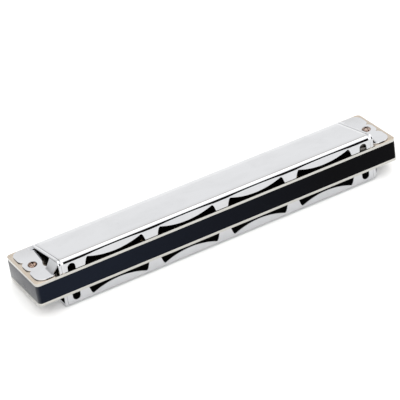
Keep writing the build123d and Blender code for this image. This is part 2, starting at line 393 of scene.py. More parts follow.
def start_material(name, **shader):
    """An empty material with a Principled shader whose plain values are set on its own sockets."""
    material = bpy.data.materials.new(name)
    material.use_nodes = True
    tree = material.node_tree
    tree.nodes.clear()
    output = place_node(tree, "ShaderNodeOutputMaterial", 9, 0)
    surface = place_node(tree, "ShaderNodeBsdfPrincipled", 8, 0, shader)
    tree.links.new(surface.outputs["BSDF"], output.inputs["Surface"])
    return material, tree, surface


# ---------------------------------------------------------------- finishes

DRAWN_ROUGHNESS = 0.38


def chrome_finish(name, tone, dull):
    """Polished chrome: faint wiping marks, hairlines and smudges, satin webs, and painted shade on the
    inside, which is near black and rough.
    """
    material, tree, surface = start_material(name, Metallic=1.0)
    even = own_vector(tree, (1, 1, 1))
    hair = own_vector(tree, (0.25, 3.0, 3.0), row=2)
    cloud = noise(tree, 3, 0, even, 60, detail=4, rough=0.55, warp=0.4)
    lines = noise(tree, 3, 1, hair, 900, detail=2)
    dust = noise(tree, 3, 3, even, 5200, detail=1)
    smudge = ramp(tree, 4, 0, cloud, (0.42, 0.0), (0.72, 1.0))
    shade = tuple(0.94 * c for c in tone)
    polished = blend_colours(tree, 5, 0, smudge, tone, shade)
    # Painted shade: where the inside attribute is set, the colour turns to the near-black one handed in as
    # dull.
    inner = place_node(tree, "ShaderNodeAttribute", 5, 1, attribute_name="inside")
    base = blend_colours(tree, 6, 0, inner.outputs["Fac"], polished, dull)
    tree.links.new(base, surface.inputs["Base Color"])
    glow = place_node(tree, "ShaderNodeMath", 5, 2, {0: lines, 1: smudge}, operation="MULTIPLY")
    shine = spread(tree, 6, 2, glow.outputs[0], 0.03, 0.12)
    stretched = place_node(tree, "ShaderNodeAttribute", 5, 3, attribute_name="drawn")
    satin = spread(tree, 6, 3, stretched.outputs["Fac"], 0.0, DRAWN_ROUGHNESS)
    least = place_node(tree, "ShaderNodeMath", 7, 3, {0: shine, 1: satin}, operation="MAXIMUM")
    rough = place_node(tree, "ShaderNodeMath", 8, 2, {0: least.outputs[0], 1: inner.outputs["Fac"]},
                       operation="MAXIMUM")
    tree.links.new(rough.outputs[0], surface.inputs["Roughness"])
    height = place_node(tree, "ShaderNodeMath", 5, 4, {0: lines, 1: dust}, operation="ADD")
    bump = place_node(tree, "ShaderNodeBump", 6, 4, {
        "Strength": 0.012, "Distance": 0.00002, "Height": height.outputs[0]})
    tree.links.new(bump.outputs["Normal"], surface.inputs["Normal"])
    return material


def brushed_finish(name, tone, rough, grain, stretch, stain, edge_tone=None, painted_cover_shade=None):
    """Rolled or filed brass: a fine grain along the metal, broad tarnish and rubbed patches.

    The part under a cover, half its length and width given, gets painted shade: its colour is darkened to
    about a tenth.
    """
    material, tree, surface = start_material(name, Metallic=1.0)
    along = own_vector(tree, stretch)
    even = own_vector(tree, (1, 1, 1), row=2)
    fine = noise(tree, 3, 0, along, grain, detail=5, rough=0.65)
    broad = noise(tree, 3, 1, even, 70, detail=5, rough=0.6, warp=0.6)
    spots = noise(tree, 3, 2, even, 900, detail=2)
    darker = tuple(c * s for c, s in zip(tone, stain))
    tarnish = ramp(tree, 4, 1, broad, (0.35, 0.0), (0.75, 1.0))
    base = blend_colours(tree, 5, 0, tarnish, tone, darker)
    if edge_tone:
        side = upright(tree, 4, 5)
        base = blend_colours(tree, 6, 1, ramp(tree, 5, 5, side, (0.80, 0.0), (0.97, 1.0)), edge_tone, base)
    speck = ramp(tree, 4, 2, spots, (0.66, 0.0), (0.74, 0.35))
    dull = tuple(0.7 * c for c in darker)
    base = blend_colours(tree, 6, 0, speck, base, dull)
    # Painted shade: the plate under a cover is darkened in its colour to stand for the cover's shade.
    if painted_cover_shade:
        where = place_node(tree, "ShaderNodeTexCoord", 4, 7)
        shift = place_node(tree, "ShaderNodeVectorMath", 5, 7, {
            0: where.outputs["Object"], 1: tuple(MIDDLE)}, operation="SUBTRACT")
        painted_shade_mask = None
        for row, axis, reach in ((7, (1, 0, 0), painted_cover_shade[0]),
                                 (8, (0, math.cos(LEAN), -math.sin(LEAN)), painted_cover_shade[1])):
            far = place_node(tree, "ShaderNodeVectorMath", 6, row, {0: shift.outputs[0], 1: axis},
                             operation="DOT_PRODUCT")
            away = place_node(tree, "ShaderNodeMath", 7, row, {0: far.outputs["Value"]}, operation="ABSOLUTE")
            part = spread(tree, 8, row, away.outputs[0], 1.0, 0.0, reach - 0.0004, reach)
            if painted_shade_mask is None:
                painted_shade_mask = part
            else:
                painted_shade_mask = place_node(tree, "ShaderNodeMath", 9, 7, {0: painted_shade_mask, 1: part},
                                     operation="MULTIPLY").outputs[0]
        base = blend_colours(tree, 10, 0, painted_shade_mask, base, tuple(0.12 * c for c in darker))
    tree.links.new(base, surface.inputs["Base Color"])
    tree.links.new(spread(tree, 6, 2, fine, rough * 0.7, rough * 1.35), surface.inputs["Roughness"])
    bump = place_node(tree, "ShaderNodeBump", 6, 4, {
        "Strength": 0.10, "Distance": 0.00004, "Height": fine})
    tree.links.new(bump.outputs["Normal"], surface.inputs["Normal"])
    return material


def upright(tree, column, row):
    """How squarely a face looks along the comb's own up direction, 0 to 1."""
    place = place_node(tree, "ShaderNodeTexCoord", column, row)
    along = place_node(tree, "ShaderNodeVectorMath", column + 1, row, {
        0: place.outputs["Normal"], 1: (0, math.sin(LEAN), math.cos(LEAN))}, operation="DOT_PRODUCT")
    size = place_node(tree, "ShaderNodeMath", column + 2, row, {0: along.outputs["Value"]},
                      operation="ABSOLUTE")
    return size.outputs[0]


def plastic_finish(name, tone, faded):
    """Black moulded plastic: satin, a painted reflection as a navy cast towards the -x end, hazed ends and
    paler rubbed edges.
    """
    material, tree, surface = start_material(name, IOR=1.5)
    place = place_node(tree, "ShaderNodeTexCoord", 0, 5)
    facing = place_node(tree, "ShaderNodeSeparateXYZ", 1, 5, {0: place.outputs["Normal"]})
    endwise = place_node(tree, "ShaderNodeMath", 2, 5, {0: facing.outputs["X"]}, operation="ABSOLUTE")
    hazed = spread(tree, 3, 5, endwise.outputs[0], 0.005, 0.42, 0.35, 0.95)
    tree.links.new(hazed, surface.inputs["Specular IOR Level"])
    where = place_node(tree, "ShaderNodeSeparateXYZ", 1, 6, {0: place.outputs["Object"]})
    # Painted reflection: the navy tint is mixed in by position along x, strongest at the -x end.
    cast = spread(tree, 3, 6, where.outputs["X"], 1.0, 0.0, -0.075, 0.055)
    even = own_vector(tree, (1, 1, 1))
    drawn = own_vector(tree, (0.3, 1, 1), row=2)
    peel = noise(tree, 3, 0, even, 1500, detail=3)
    haze = noise(tree, 3, 1, drawn, 90, detail=5, rough=0.6, warp=0.5)
    edge = place_node(tree, "ShaderNodeNewGeometry", 3, 3)
    rubbed = ramp(tree, 4, 3, edge.outputs["Pointiness"], (0.50, 0.0), (0.62, 1.0))
    paler = tuple(0.01 + 1.5 * c for c in tone)
    painted_reflection_share = place_node(tree, "ShaderNodeMath", 4, 6, {0: cast, 1: spread(tree, 4, 7, haze, 0.75, 1.1)},
                        operation="MULTIPLY")
    base = blend_colours(tree, 5, 0, painted_reflection_share.outputs[0], tone, faded)
    tree.links.new(blend_colours(tree, 6, 0, rubbed, base, paler), surface.inputs["Base Color"])
    tree.links.new(spread(tree, 6, 2, haze, 0.16, 0.30, 0.3, 0.7), surface.inputs["Roughness"])
    bump = place_node(tree, "ShaderNodeBump", 6, 4, {
        "Strength": 0.06, "Distance": 0.00004, "Height": peel})
    tree.links.new(bump.outputs["Normal"], surface.inputs["Normal"])
    return material


def floor_finish(name, tone):
    """Matt pale floor with an even, very fine tooth."""
    material, tree, surface = start_material(name, Roughness=0.85)
    place = place_node(tree, "ShaderNodeTexCoord", 0, 0)
    tooth = noise(tree, 2, 0, place.outputs["Object"], 1400, detail=2)
    paler = tuple(min(1.0, 1.01 * c) for c in tone)
    tree.links.new(blend_colours(tree, 6, 0, tooth, tone, paler), surface.inputs["Base Color"])
    bump = place_node(tree, "ShaderNodeBump", 6, 4, {
        "Strength": 0.03, "Distance": 0.0001, "Height": tooth})
    tree.links.new(bump.outputs["Normal"], surface.inputs["Normal"])
    return material


def get_finish(name):
    """Makes a finish once and hands it out again afterwards."""
    if name in bpy.data.materials:
        return bpy.data.materials[name]
    look = settings().harmonica_finishes
    if name == "polished_chrome":
        return chrome_finish(name, tuple(look.chrome), tuple(look.inside))
    if name == "rolled_plate_brass":
        return brushed_finish(name, tuple(look.plate), 0.20, 900, (0.06, 1, 1), (0.95, 0.90, 0.82),
                              tuple(look.plate_edge), PAINTED_COVER_SHADE)
    if name == "filed_reed_brass":
        return brushed_finish(name, tuple(look.reed), 0.26, 2600, (1, 0.08, 1), (0.85, 0.72, 0.50))
    if name == "rivet_brass_dull":
        return brushed_finish(name, tuple(look.rivet), 0.30, 2600, (1, 1, 1), (0.80, 0.70, 0.52))
    if name == "screw_brass_red":
        return brushed_finish(name, tuple(look.screw), 0.22, 3200, (1, 1, 1), (0.80, 0.62, 0.50))
    if name == "moulded_black_plastic":
        return plastic_finish(name, tuple(look.comb), tuple(look.faded))
    return floor_finish(name, tuple(look.floor))


# ---------------------------------------------------------------- covers

def softest(low, high, softness):
    """Smooth minimum of two heights."""
    h = max(softness - abs(low - high), 0.0) / softness
    return min(low, high) - h * h * softness / 4


def slot_outline(sizes, x):
    """Height of the cut-out in the back wall at x, and how far the panel over it is pressed in."""
    half = sizes.slot_length / 2
    for k in (-1.5, -0.5, 0.5, 1.5):
        off = abs(x - k * sizes.slot_pitch)
        if off < half:
            chord = half - sizes.slot_lean
            sag = sizes.slot_height - sizes.slot_middle
            radius = (chord * chord + sag * sag) / (2 * sag)
            rise = radius - math.sqrt(max(radius * radius - off * off, 0.0))
            top = sizes.slot_middle + rise
            side = (half - off) * sizes.slot_height / sizes.slot_lean
            pressed = max(0.0, 1 - (off / (half - sizes.slot_lean / 2)) ** 2)
            return max(0.0, softest(side, top, sizes.slot_round)), pressed ** 0.8
    off = abs(abs(x) - sizes.arch_centre)
    radius = sizes.arch_width / 2
    if off < radius + 1e-6:
        straight = sizes.arch_height - radius
        return straight + math.sqrt(max(radius * radius - off * off, 0.0)), 0.0
    return 0.0, 0.0


def cover_columns(sizes):
    """Places along x where the shell's section is drawn: close together beside each cut-out."""
    places = set()
    half = sizes.slot_length / 2
    for k in (-1.5, -0.5, 0.5, 1.5):
        centre = k * sizes.slot_pitch
        for off in np.concatenate([np.linspace(half, half - 0.0024, 21), np.linspace(half - 0.0027, 0, 22)]):
            places.update((centre - off, centre + off))
    radius = sizes.arch_width / 2
    for turn in np.radians(np.linspace(0, 90, 15)):
        for centre in (-sizes.arch_centre, sizes.arch_centre):
            places.update((centre - radius * math.cos(turn), centre + radius * math.cos(turn)))
    for centre in (-sizes.arch_centre, sizes.arch_centre):
        places.update((centre - radius - 0.00003, centre + radius + 0.00003))
    hem_start = sizes.half_length - sizes.hem
    for off in np.linspace(0, 2 * sizes.groove_reach, 9):
        places.update((-hem_start + off, hem_start - off))
    shell_end = sizes.half_length - sizes.sheet
    places.update((-shell_end, shell_end))
    ordered = sorted(places)
    spaced = [ordered[0]]
    for x in ordered[1:]:
        if x - spaced[-1] > 0.00002:
            spaced.append(x)
    filled = []
    for here, there in zip(spaced, spaced[1:]):
        steps = max(1, math.ceil((there - here) / 0.0018))
        filled += [here + (there - here) * s / steps for s in range(steps)]
    return filled + [spaced[-1]]


def shell_section(sizes, cut, pressed):
    """Rows (y, z, outward y, outward z) of the shell's outside, from the back wall's foot to the nose."""
    tau = sizes.slope
    split = sizes.bend_split
    wall_y = float(COVER_LOW[1])
    bend_y = wall_y + sizes.bend_radius
    bend_z = PLATE_FACE + sizes.wall_straight
    tight = sizes.bend_radius - pressed * (sizes.bend_radius - sizes.tight_radius)
    low_y = bend_y - (sizes.bend_radius - tight) * math.cos(split)
    low_z = bend_z + (sizes.bend_radius - tight) * math.sin(split)
    rows = []
    foot = PLATE_FACE + cut
    for t in np.linspace(0, 1, 9)[:-1]:
        rows.append((low_y - tight, foot + (low_z - foot) * t, -1.0, 0.0))
    for a in np.linspace(0, split, 11)[:-1]:
        rows.append((low_y - tight * math.cos(a), low_z + tight * math.sin(a), -math.cos(a), math.sin(a)))
    for a in np.linspace(split, math.pi / 2, 9)[:-1]:
        rows.append((bend_y - sizes.bend_radius * math.cos(a), bend_z + sizes.bend_radius * math.sin(a),
                     -math.cos(a), math.sin(a)))
    top = bend_z + sizes.bend_radius
    shoulder = (sizes.face_back - bend_y) / math.sin(tau)
    for a in np.linspace(0, tau, 11)[:-1]:
        rows.append((bend_y + shoulder * math.sin(a), top - shoulder * (1 - math.cos(a)),
                     math.sin(a), math.cos(a)))
    face_top = top - shoulder * (1 - math.cos(tau))
    face_low = face_top - (sizes.face_front - sizes.face_back) * math.tan(tau)
    for t in (0.0, 0.33, 0.66):
        rows.append((sizes.face_back + (sizes.face_front - sizes.face_back) * t,
                     face_top + (face_low - face_top) * t, math.sin(tau), math.cos(tau)))
    nose = (face_low - PLATE_FACE) / math.cos(tau)
    centre_y = sizes.face_front - nose * math.sin(tau)
    for a in np.linspace(tau, math.pi / 2, 11):
        rows.append((centre_y + nose * math.sin(a), PLATE_FACE + nose * math.cos(a),
                     math.sin(a), math.cos(a)))
    return rows


def shell_mesh(sizes):
    """The raised shell: outer and inner skins, hemmed round ends and the rims of all cut-outs."""
    columns = cover_columns(sizes)
    hem_start = sizes.half_length - sizes.hem

    def skin(x, depth):
        cut, pressed = slot_outline(sizes, x)
        return [(x, y - out_y * depth, z - out_z * depth)
                for y, z, out_y, out_z in shell_section(sizes, cut, pressed)]

    def groove(x):
        off = abs(abs(x) - (hem_start - sizes.groove_reach)) / sizes.groove_reach
        return sizes.groove * max(0.0, 1 - off * off) ** 2

    outer = [skin(x, groove(x)) for x in columns]
    inner = [skin(x, 2 * sizes.sheet if abs(x) >= hem_start else sizes.sheet) for x in columns]

    def bead(side):
        around = []
        x0 = side * (sizes.half_length - sizes.sheet)
        for turn in np.radians(np.linspace(75, -75, 9)):
            around.append(skin_at(x0, x0 + side * sizes.sheet * math.cos(turn),
                                  sizes.sheet * (1 - math.sin(turn))))
        return around

    def skin_at(section_x, x, depth):
        cut, pressed = slot_outline(sizes, section_x)
        return [(x, y - out_y * depth, z - out_z * depth)
                for y, z, out_y, out_z in shell_section(sizes, cut, pressed)]

    right, left = bead(1), bead(-1)
    loop = outer + right + inner[::-1] + left[::-1]
    work, grid = from_grid(loop, closed=True)
    count, caps = len(outer), len(right)
    inside = grid[count + caps:count + caps + count][::-1]
    for j in (0, -1):
        for i in range(count - 1):
            work.faces.new((grid[i][j], grid[i + 1][j], inside[i + 1][j], inside[i][j]))
        work.faces.new([grid[count - 1][j]] + [r[j] for r in grid[count:count + caps]] + [inside[-1][j]])
        work.faces.new([inside[0][j]] + [r[j] for r in grid[2 * count + caps:]] + [grid[0][j]])
    # The inner skin is marked so that its chrome gets painted shade.
    inner_shade_layer = work.verts.layers.float["inside"]
    for row in grid[count + caps:2 * count + caps]:
        for vert in row:
            vert[inner_shade_layer] = 1.0
    return finished(work, "shell")


def tab_outline(sizes, shell_end):
    """Outer edge of the tab at the +x end, anticlockwise from above."""
    end, half, corner, soft = sizes.tab_end, sizes.half_width, sizes.corner, sizes.lobe_round
    place = sizes.notch_place
    turn = math.acos(1 - sizes.notch_depth / soft)
    half_mouth = soft * math.sin(turn)
    edge = [(shell_end + sizes.slit, -half)]
    edge += arc((end - corner, corner - half), corner, -90, 0, 10)
    for y in (-place, place):
        edge += arc((end - soft, y - half_mouth), soft, 0, math.degrees(turn) - 2, 9)
        edge += arc((end - soft, y + half_mouth), soft, 2 - math.degrees(turn), 0, 9)
    edge += arc((end - corner, half - corner), corner, 0, 90, 10)
    edge += [(shell_end, half), (shell_end, sizes.vent_front)]
    for t in np.linspace(0, 1, 25)[1:-1]:
        y = sizes.vent_front + (sizes.vent_back - sizes.vent_front) * t
        lean = (sizes.vent_front - sizes.vent_widest) / (sizes.vent_front - sizes.vent_back)
        bulge = math.sin(math.pi * t ** (math.log(0.5) / math.log(lean)))
        edge.append((shell_end + (sizes.vent_reach - shell_end) * bulge ** 0.75, y))
    edge += [(shell_end + 0.0008, sizes.vent_back), (shell_end + 0.0008, sizes.web_back)]
    return edge


def flat_sheet(outline, hole, low, high, rounding):
    """A stamped sheet between two heights, with softened edges and a round hole."""
    curve = bpy.data.curves.new("stamping", "CURVE")
    curve.dimensions = "2D"
    curve.fill_mode = "BOTH"
    for edge in (outline, hole):
        line = curve.splines.new("POLY")
        line.points.add(len(edge) - 1)
        for point, (x, y) in zip(line.points, edge):
            point.co = (x, y, 0, 1)
        line.use_cyclic_u = True
    curve.extrude = (high - low) / 2 - rounding
    curve.bevel_depth = rounding
    curve.bevel_resolution = 2
    curve.offset = -rounding
    stamping = bpy.data.objects.new("stamping", curve)
    bpy.context.scene.collection.objects.link(stamping)
    mesh = plain_mesh(stamping)
    bpy.data.curves.remove(curve)
    mesh.transform(Matrix.Translation((0, 0, (low + high) / 2)))
    return mesh


def web_mesh(sizes, tab, side, back):
    """A curved web that rises from the tab to the shell's end, behind or in front of the vent."""
    foot_z = PLATE_FACE + sizes.sheet + tab.lift
    section = shell_section(sizes, 0.0, 0.0)
    outline = sorted((y, z) for y, z, _, _ in section if z > PLATE_FACE + sizes.wall_straight or y > 0)
    ys, zs = [p[0] for p in outline], [p[1] for p in outline]
    if back:
        foot = (tab.web_back, tab.vent_back - 0.0002)
        head = (float(COVER_LOW[1]) + 1.6 * sizes.sheet, tab.vent_back + 0.0006)
        reach = tab.web_foot
    else:
        foot = (tab.vent_front - 0.0004, float(COVER_HIGH[1]) - 0.0006)
        head = (tab.vent_front - 0.0010, float(COVER_HIGH[1]) - 0.0012)
        reach = tab.web_foot - 0.0010
    rows = []
    for s in np.linspace(0, 1, 17):
        head_y = head[0] + (head[1] - head[0]) * s
        foot_y = foot[0] + (foot[1] - foot[0]) * s
        top_z = float(np.interp(head_y, ys, zs)) - sizes.sheet
        top_z = max(top_z, foot_z + 0.0002)
        line = []
        for t in np.linspace(0, 1, 15):
            top_x = sizes.half_length - 0.0003
            bend_x = 0.68 * reach + 0.32 * top_x
            bend_z = 0.9 * foot_z + 0.1 * top_z
            x = (1 - t) ** 2 * reach + 2 * t * (1 - t) * bend_x + t * t * top_x
            z = (1 - t) ** 2 * foot_z + 2 * t * (1 - t) * bend_z + t * t * top_z
            y = foot_y + (head_y - foot_y) * t ** 1.5
            line.append((side * x, y, z))
        rows.append(line)
    work = from_grid(rows)[0]
    drawn = work.verts.layers.float["drawn"]
    for vertex in work.verts:
        vertex[drawn] = 1.0
    bmesh.ops.recalc_face_normals(work, faces=work.faces)
    if sum(face.normal.x for face in work.faces) * side < 0:
        bmesh.ops.reverse_faces(work, faces=work.faces)
    bmesh.ops.solidify(work, geom=work.faces[:], thickness=sizes.sheet * 0.9)
    return finished(work, "web")


def cover_mesh(sizes, tab):
    """Shell, tabs and webs of one cover, joined."""
    parts = [shell_mesh(sizes)]
    screw = max(own_points("cover_screws")[:, 0]) - settings().harmonica_small_parts.screw_head
    low, high = PLATE_FACE + tab.lift, PLATE_FACE + tab.lift + sizes.sheet
    outline = tab_outline(tab, sizes.half_length - 0.0004)
    for side in (1, -1):
        hole = arc((side * screw, 0), 0.0011, 0, 350, 23)
        edge = [(side * x, y) for x, y in outline][::side]
        parts.append(flat_sheet(edge, hole, low, high, tab.edge))
        parts += [web_mesh(sizes, tab, side, back) for back in (True, False)]
    whole = bmesh.new()
    for part in parts:
        whole.from_mesh(part)
        bpy.data.meshes.remove(part)
    bmesh.ops.recalc_face_normals(whole, faces=whole.faces)
    mesh = bpy.data.meshes.new("cover")
    whole.to_mesh(mesh)
    whole.free()
    return smooth(mesh)


class HARMONICA_OT_covers(bpy.types.Operator):
    """Builds both chromed covers: hemmed shell, sound slots, vents, webs and lobed tabs"""
    bl_idname = "harmonica.covers"
    bl_label = "Covers"

    def execute(self, context):
        upper = cover_mesh(context.scene.harmonica_cover, context.scene.harmonica_tab)
        lower = flipped(upper)
        chrome = get_finish("polished_chrome")
        settle(new_piece("top_cover", upper, chrome), BODY, "cover_chrome", "upper_cover")
        settle(new_piece("bottom_cover", lower, chrome), BODY, "cover_chrome", "lower_cover")
        return {"FINISHED"}


# ---------------------------------------------------------------- comb and plates

def eased_copy(node, rounding):
    """A copy of a CAD node with merged faces and softly broken edges."""
    work = bmesh.new()
    work.from_mesh(NODES[node].data)
    bmesh.ops.transform(work, matrix=STAND.inverted(), verts=work.verts)
    bmesh.ops.remove_doubles(work, verts=work.verts, dist=2e-7)
    bmesh.ops.dissolve_limit(work, angle_limit=math.radians(0.6), verts=work.verts, edges=work.edges)
    sharp = [e for e in work.edges if len(e.link_faces) == 2 and e.calc_face_angle(0.0) > math.radians(40)]
    bmesh.ops.bevel(work, geom=sharp, offset=rounding, offset_type="OFFSET", segments=2, profile=0.6,
                    affect="EDGES", clamp_overlap=True)
    bmesh.ops.triangulate(work, faces=[f for f in work.faces if len(f.verts) > 4])
    return smooth(finished(work, node + "_eased"), 28)


class HARMONICA_OT_comb(bpy.types.Operator):
    """Builds the black comb with its 24 double cells"""
    bl_idname = "harmonica.comb"
    bl_label = "Comb"

    def execute(self, context):
        mesh = eased_copy("comb", context.scene.harmonica_small_parts.edge * 1.5)
        piece = new_piece("comb_body", mesh, get_finish("moulded_black_plastic"))
        settle(piece, BODY, "comb_plastic", "comb")
        return {"FINISHED"}


class HARMONICA_OT_plates(bpy.types.Operator):
    """Builds the two pale brass reed plates with their reed slots"""
    bl_idname = "harmonica.plates"
    bl_label = "Reed plates"

    def execute(self, context):
        for side, name in (("upper", "top_plate"), ("lower", "bottom_plate")):
            node = side + "_reed_plate"
            mesh = eased_copy(node, context.scene.harmonica_small_parts.edge)
            piece = new_piece(name, mesh, get_finish("rolled_plate_brass"))
            settle(piece, BODY, "plate_brass", node)
        return {"FINISHED"}


# ---------------------------------------------------------------- what repeats: Geometry Nodes

def new_tree(name, *inputs):
    """A Geometry Nodes tree with named inputs, and a lookup from an input's name to its identifier."""
    tree = bpy.data.node_groups.new(name, "GeometryNodeTree")
    tree.interface.new_socket("Geometry", in_out="INPUT", socket_type="NodeSocketGeometry")
    keys = {}
    for label, kind in inputs:
        item = tree.interface.new_socket(label, in_out="INPUT", socket_type=kind)
        keys[label] = item.identifier
    tree.interface.new_socket("Geometry", in_out="OUTPUT", socket_type="NodeSocketGeometry")
    start = place_node(tree, "NodeGroupInput", 0, 0)
    return tree, start, keys


def end_tree(tree, start, geometry, column, smooth_faces=True):
    """Realize Instances, shading and Set Material close every tree."""
    real = place_node(tree, "GeometryNodeRealizeInstances", column, 0, {"Geometry": geometry})
    shade = place_node(tree, "GeometryNodeSetShadeSmooth", column + 1, 0, {
        "Geometry": real.outputs["Geometry"], "Shade Smooth": smooth_faces})
    paint = place_node(tree, "GeometryNodeSetMaterial", column + 2, 0, {
        "Geometry": shade.outputs["Geometry"], "Material": start.outputs["Finish"]})
    output = place_node(tree, "NodeGroupOutput", column + 3, 0)
    tree.links.new(paint.outputs["Geometry"], output.inputs["Geometry"])
    return tree


def vector_of(tree, column, row, x, y, z):
    """A vector from three numbers or outputs."""
    node = place_node(tree, "ShaderNodeCombineXYZ", column, row, {0: x, 1: y, 2: z})
    return node.outputs["Vector"]


def times(tree, column, row, value, factor):
    node = place_node(tree, "ShaderNodeMath", column, row, {0: value, 1: factor}, operation="MULTIPLY")
    return node.outputs[0]


def moved(tree, column, row, geometry, translation=None, scale=None):
    values = {"Geometry": geometry}
    if translation is not None:
        values["Translation"] = translation
    if scale is not None:
        values["Scale"] = scale
    return place_node(tree, "GeometryNodeTransform", column, row, values).outputs["Geometry"]


def stamp(tree, column, start, shape):
    """Puts a shape on every point, standing along that point's facing."""
    facing = place_node(tree, "GeometryNodeInputNamedAttribute", column, 2, {"Name": "facing"},
                        data_type="FLOAT_VECTOR")
    stand = place_node(tree, "FunctionNodeAlignRotationToVector", column + 1, 2, {
        "Vector": facing.outputs["Attribute"]}, axis="Z")
    stamped = place_node(tree, "GeometryNodeInstanceOnPoints", column + 2, 0, {
        "Points": start.outputs["Geometry"], "Instance": shape, "Rotation": stand.outputs["Rotation"]})
    return stamped.outputs["Instances"]


def headed_pin_tree(name, segments, rings):
    """A domed head on a round shank, with an optional spread tail: rivets and nails."""
    tree, start, keys = new_tree(
        name, ("Head radius", "NodeSocketFloat"), ("Head rise", "NodeSocketFloat"),
        ("Shank radius", "NodeSocketFloat"), ("Shank length", "NodeSocketFloat"),
        ("Tail radius", "NodeSocketFloat"), ("Tail rise", "NodeSocketFloat"),
        ("Finish", "NodeSocketMaterial"))
    out = start.outputs
    ball = place_node(tree, "GeometryNodeMeshUVSphere", 1, 0, {
        "Segments": segments, "Rings": rings, "Radius": 1.0})
    head_size = vector_of(tree, 1, 1, out["Head radius"], out["Head radius"], out["Head rise"])
    head = moved(tree, 2, 0, ball.outputs["Mesh"], scale=head_size)
    shank = place_node(tree, "GeometryNodeMeshCylinder", 1, 2, {
        "Vertices": segments, "Radius": out["Shank radius"], "Depth": out["Shank length"]})
    sunk = vector_of(tree, 2, 2, 0.0, 0.0, times(tree, 1, 3, out["Shank length"], -0.5))
    shank = moved(tree, 3, 2, shank.outputs["Mesh"], translation=sunk)
    tail_size = vector_of(tree, 1, 4, out["Tail radius"], out["Tail radius"], out["Tail rise"])
    foot = vector_of(tree, 2, 4, 0.0, 0.0, times(tree, 1, 5, out["Shank length"], -1.0))
    tail = moved(tree, 3, 4, ball.outputs["Mesh"], translation=foot, scale=tail_size)
    joined = place_node(tree, "GeometryNodeJoinGeometry", 4, 0)
    for part in (tail, shank, head):
        tree.links.new(part, joined.inputs["Geometry"])
    stamped = stamp(tree, 5, start, joined.outputs["Geometry"])
    return end_tree(tree, start, stamped, 8), keys


def screw_tree():
    """A domed screw with a cross recess in its head and a plain shank."""
    tree, start, keys = new_tree(
        "Cover screw", ("Head radius", "NodeSocketFloat"), ("Head rise", "NodeSocketFloat"),
        ("Cross length", "NodeSocketFloat"), ("Cross width", "NodeSocketFloat"),
        ("Cross depth", "NodeSocketFloat"), ("Shank radius", "NodeSocketFloat"),
        ("Shank length", "NodeSocketFloat"), ("Finish", "NodeSocketMaterial"))
    out = start.outputs
    ball = place_node(tree, "GeometryNodeMeshUVSphere", 1, 0, {"Segments": 48, "Rings": 24, "Radius": 1.0})
    head_size = vector_of(tree, 1, 1, out["Head radius"], out["Head radius"], out["Head rise"])
    head = moved(tree, 2, 0, ball.outputs["Mesh"], scale=head_size)
    deep = times(tree, 1, 6, out["Cross depth"], 2.0)
    long_way = place_node(tree, "GeometryNodeMeshCube", 2, 2, {
        "Size": vector_of(tree, 1, 2, out["Cross length"], out["Cross width"], deep)})
    short_way = place_node(tree, "GeometryNodeMeshCube", 2, 3, {
        "Size": vector_of(tree, 1, 3, out["Cross width"], out["Cross length"], deep)})
    up = vector_of(tree, 3, 4, 0.0, 0.0, out["Head rise"])
    under = place_node(tree, "GeometryNodeMeshCube", 2, 5, {"Size": (0.01, 0.01, 0.01)})
    cutter = moved(tree, 4, 5, under.outputs["Mesh"], translation=(0, 0, -0.00502))
    cut = place_node(tree, "GeometryNodeMeshBoolean", 5, 0, {"Mesh 1": head},
                     operation="DIFFERENCE", solver="EXACT")
    for tool in (moved(tree, 4, 2, long_way.outputs["Mesh"], translation=up),
                 moved(tree, 4, 3, short_way.outputs["Mesh"], translation=up), cutter):
        tree.links.new(tool, cut.inputs["Mesh 2"])
    shank = place_node(tree, "GeometryNodeMeshCylinder", 2, 7, {
        "Vertices": 24, "Radius": out["Shank radius"], "Depth": out["Shank length"]})
    sunk = vector_of(tree, 3, 7, 0.0, 0.0, times(tree, 2, 8, out["Shank length"], -0.5))
    joined = place_node(tree, "GeometryNodeJoinGeometry", 6, 0)
    for part in (moved(tree, 4, 7, shank.outputs["Mesh"], translation=sunk), cut.outputs["Mesh"]):
        tree.links.new(part, joined.inputs["Geometry"])
    stamped = stamp(tree, 7, start, joined.outputs["Geometry"])
    return end_tree(tree, start, stamped, 10), keys


def pad_tree():
    """A flat pad with rounded corners."""
    tree, start, keys = new_tree(
        "Reed pad", ("Width", "NodeSocketFloat"), ("Length", "NodeSocketFloat"),
        ("Thickness", "NodeSocketFloat"), ("Corner", "NodeSocketFloat"), ("Finish", "NodeSocketMaterial"))
    out = start.outputs
    outline = place_node(tree, "GeometryNodeCurvePrimitiveQuadrilateral", 1, 0, {
        "Width": out["Width"], "Height": out["Length"]})
    eased = place_node(tree, "GeometryNodeFilletCurve", 2, 0, {
        "Curve": outline.outputs["Curve"], "Radius": out["Corner"]}, mode="POLY")
    face = place_node(tree, "GeometryNodeFillCurve", 3, 0, {"Curve": eased.outputs["Curve"]}, mode="NGONS")
    block = place_node(tree, "GeometryNodeExtrudeMesh", 4, 0, {
        "Mesh": face.outputs["Mesh"], "Offset Scale": out["Thickness"], "Individual": False})
    under = place_node(tree, "GeometryNodeFlipFaces", 4, 2, {"Mesh": face.outputs["Mesh"]})
    joined = place_node(tree, "GeometryNodeJoinGeometry", 5, 0)
    for part in (under.outputs["Mesh"], block.outputs["Mesh"]):
        tree.links.new(part, joined.inputs["Geometry"])
    closed = place_node(tree, "GeometryNodeMergeByDistance", 6, 0, {
        "Geometry": joined.outputs["Geometry"], "Distance": 1e-7})
    stamped = stamp(tree, 7, start, closed.outputs["Geometry"])
    return end_tree(tree, start, stamped, 10, smooth_faces=False), keys


